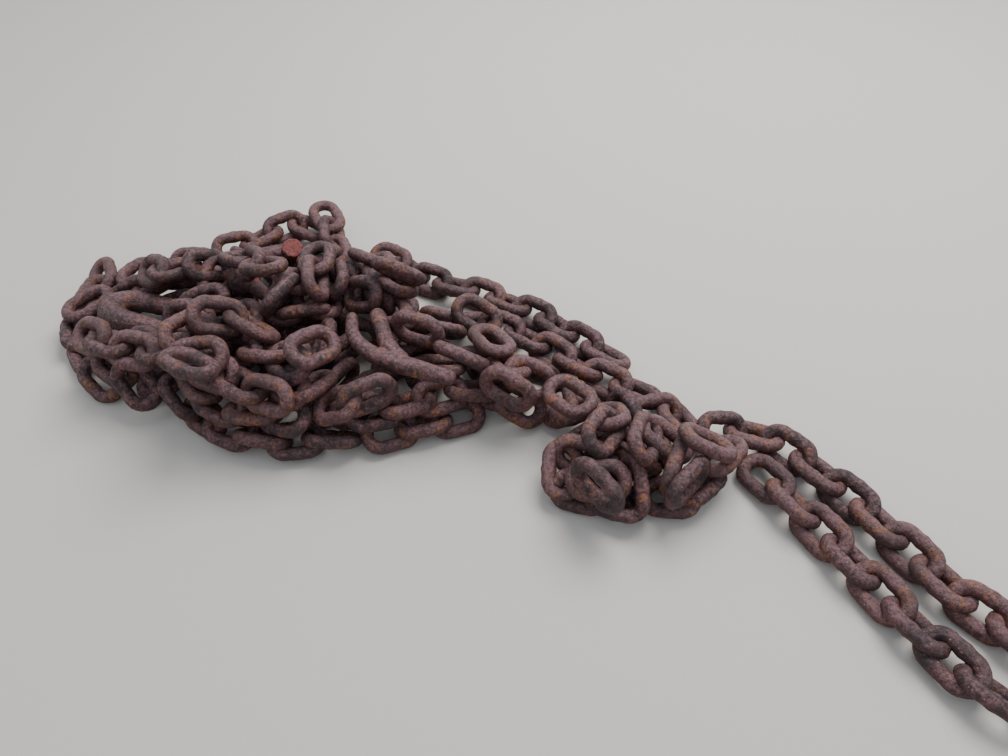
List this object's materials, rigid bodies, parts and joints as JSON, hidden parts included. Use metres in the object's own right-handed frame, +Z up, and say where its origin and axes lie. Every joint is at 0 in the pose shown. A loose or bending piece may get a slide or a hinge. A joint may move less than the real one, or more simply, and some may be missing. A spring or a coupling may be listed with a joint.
{
  "type": "heap of steel chain",
  "caption": "Tangled heap of rusty welded steel chain with grab hooks, a small side pile and two loose ends trailing to one side.",
  "frame": {"origin": "on the level underside of the big pile's core, which is the ground that the whole heap lies on", "axes": "+X from the big pile towards the two trailing ends, +Y towards the back of the heap, +Z up"},
  "size_m": [0.8844, 0.6171, 0.1135],
  "materials": {
    "rusty_chain": "matt",
    "packed_chain": "matt",
    "forged_hook": "matt",
    "painted_hook": "worn matt"
  },
  "bodies": {
    "root": {"arch_run": "rusty_chain", "back_foot_run": "rusty_chain", "back_gap_run": "rusty_chain", "back_right_run": "rusty_chain", "back_shoulder_run": "rusty_chain", "belly_gap_run": "rusty_chain", "belly_run": "rusty_chain", "crown_left_run": "rusty_chain", "crown_low_run": "rusty_chain", "crown_ring_run": "rusty_chain", "dark_bar_run": "rusty_chain", "far_run": "rusty_chain", "front_foot_run": "rusty_chain", "front_gap_run": "rusty_chain", "front_second_run": "rusty_chain", "front_shoulder_run": "rusty_chain", "head_ring_run": "rusty_chain", "heap_core": "packed_chain", "knee_run": "rusty_chain", "left_edge_run": "rusty_chain", "left_foot_run": "rusty_chain", "left_grab_hook": "forged_hook", "left_knee_run": "rusty_chain", "left_low_run": "rusty_chain", "left_toe_run": "rusty_chain", "middle_arch_run": "rusty_chain", "middle_back_run": "rusty_chain", "middle_belly_run": "rusty_chain", "middle_core": "packed_chain", "middle_edge_run": "rusty_chain", "middle_front_run": "rusty_chain", "middle_inner_run": "rusty_chain", "middle_knot_run": "rusty_chain", "middle_long_run": "rusty_chain", "middle_outer_run": "rusty_chain", "middle_side_run": "rusty_chain", "near_run": "rusty_chain", "orange_run": "rusty_chain", "pile_back_run": "rusty_chain", "pile_bridge_run": "rusty_chain", "pile_corner_run": "rusty_chain", "pile_cross_run": "rusty_chain", "pile_inner_run": "rusty_chain", "pile_left_run": "rusty_chain", "pile_middle_run": "rusty_chain", "pile_right_run": "rusty_chain", "pile_top_run": "rusty_chain", "pile_under_run": "rusty_chain", "red_grab_hook": "painted_hook", "right_grab_hook": "forged_hook", "right_shoulder_run": "rusty_chain", "round_head_hook": "painted_hook", "saddle_run": "rusty_chain", "upper_left_run": "rusty_chain", "upper_run": "rusty_chain", "upright_run": "rusty_chain"}
  },
  "joints": []
}
